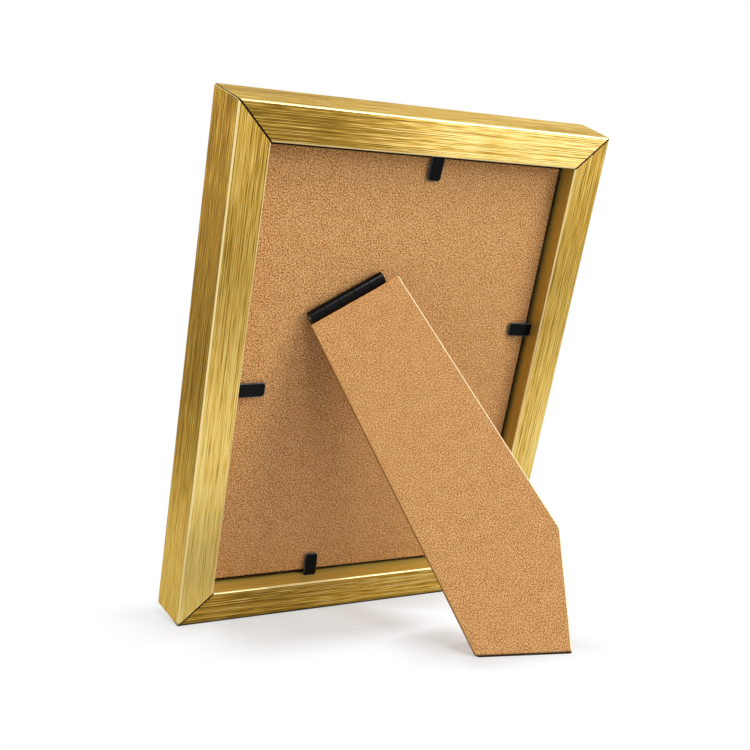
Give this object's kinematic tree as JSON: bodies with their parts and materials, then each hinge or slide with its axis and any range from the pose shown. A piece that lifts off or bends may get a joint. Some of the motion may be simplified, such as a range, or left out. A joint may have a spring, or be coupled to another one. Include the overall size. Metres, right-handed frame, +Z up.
{
  "type": "picture frame",
  "caption": "Tabletop picture frame with mitred brushed-gold rails, glazed rebate, fibreboard back under bend-up tabs and a hinged two-way easel leg.",
  "frame": {"origin": "middle of the stance's box, on the surface that the frame stands on", "axes": "+Z up, +Y towards the leg behind the frame, +X to the right seen from the front; the picture faces -Y"},
  "size_m": [0.164, 0.1252, 0.2066],
  "materials": {
    "gold": "brushed along the rail, gold anodised",
    "key_zinc": "as cast zinc",
    "glass": "clear float glass",
    "print_paper": "matt, bare",
    "filler": "brown card",
    "board": "raw fibreboard, fine speckle",
    "leg_board": "raw fibreboard, fine speckle, paler cut edges",
    "black_steel": "black satin paint",
    "bare_steel": "plain bright steel"
  },
  "bodies": {
    "frame": {"rail_top": "gold", "rail_bottom": "gold", "rail_left": "gold", "rail_right": "gold", "corner_key_top_left": "key_zinc", "corner_key_top_right": "key_zinc", "corner_key_bottom_left": "key_zinc", "corner_key_bottom_right": "key_zinc", "glazing": "glass", "print_sheet": "print_paper", "filler_card": "filler", "backing_board": "board", "tab_shank_top": "black_steel", "tab_shank_bottom": "black_steel", "tab_shank_left": "black_steel", "tab_shank_right": "black_steel", "hinge_board_leaf": "black_steel", "hinge_pin": "bare_steel", "hinge_board_screw_1": "bare_steel", "hinge_board_screw_2": "bare_steel"},
    "leg": {"easel_leg": "leg_board", "hinge_leg_leaf": "black_steel", "hinge_leg_screw_1": "bare_steel", "hinge_leg_screw_2": "bare_steel"},
    "tab_top": {"tab_tongue_top": "black_steel"},
    "tab_bottom": {"tab_tongue_bottom": "black_steel"},
    "tab_left": {"tab_tongue_left": "black_steel"},
    "tab_right": {"tab_tongue_right": "black_steel"}
  },
  "joints": [
    {"name": "leg_fold", "type": "hinge", "parent": "frame", "child": "leg", "pos_m": [0.0251, 0.00078, 0.1321], "axis": [0.8572, -0.1762, -0.484], "range_deg": [-37, 0]},
    {"name": "tab_top_bend", "type": "hinge", "parent": "frame", "child": "tab_top", "pos_m": [-0.0055, 0.01923, 0.18631], "axis": [1, 0, 0], "range_deg": [0, 90]},
    {"name": "tab_bottom_bend", "type": "hinge", "parent": "frame", "child": "tab_bottom", "pos_m": [0.0212, -0.04284, 0.01575], "axis": [-1, 0, 0], "range_deg": [0, 90]},
    {"name": "tab_left_bend", "type": "hinge", "parent": "frame", "child": "tab_left", "pos_m": [-0.06575, -0.00496, 0.11982], "axis": [0, 0.342, 0.9397], "range_deg": [0, 90]},
    {"name": "tab_right_bend", "type": "hinge", "parent": "frame", "child": "tab_right", "pos_m": [0.06575, -0.01358, 0.09614], "axis": [0, -0.342, -0.9397], "range_deg": [0, 90]}
  ]
}
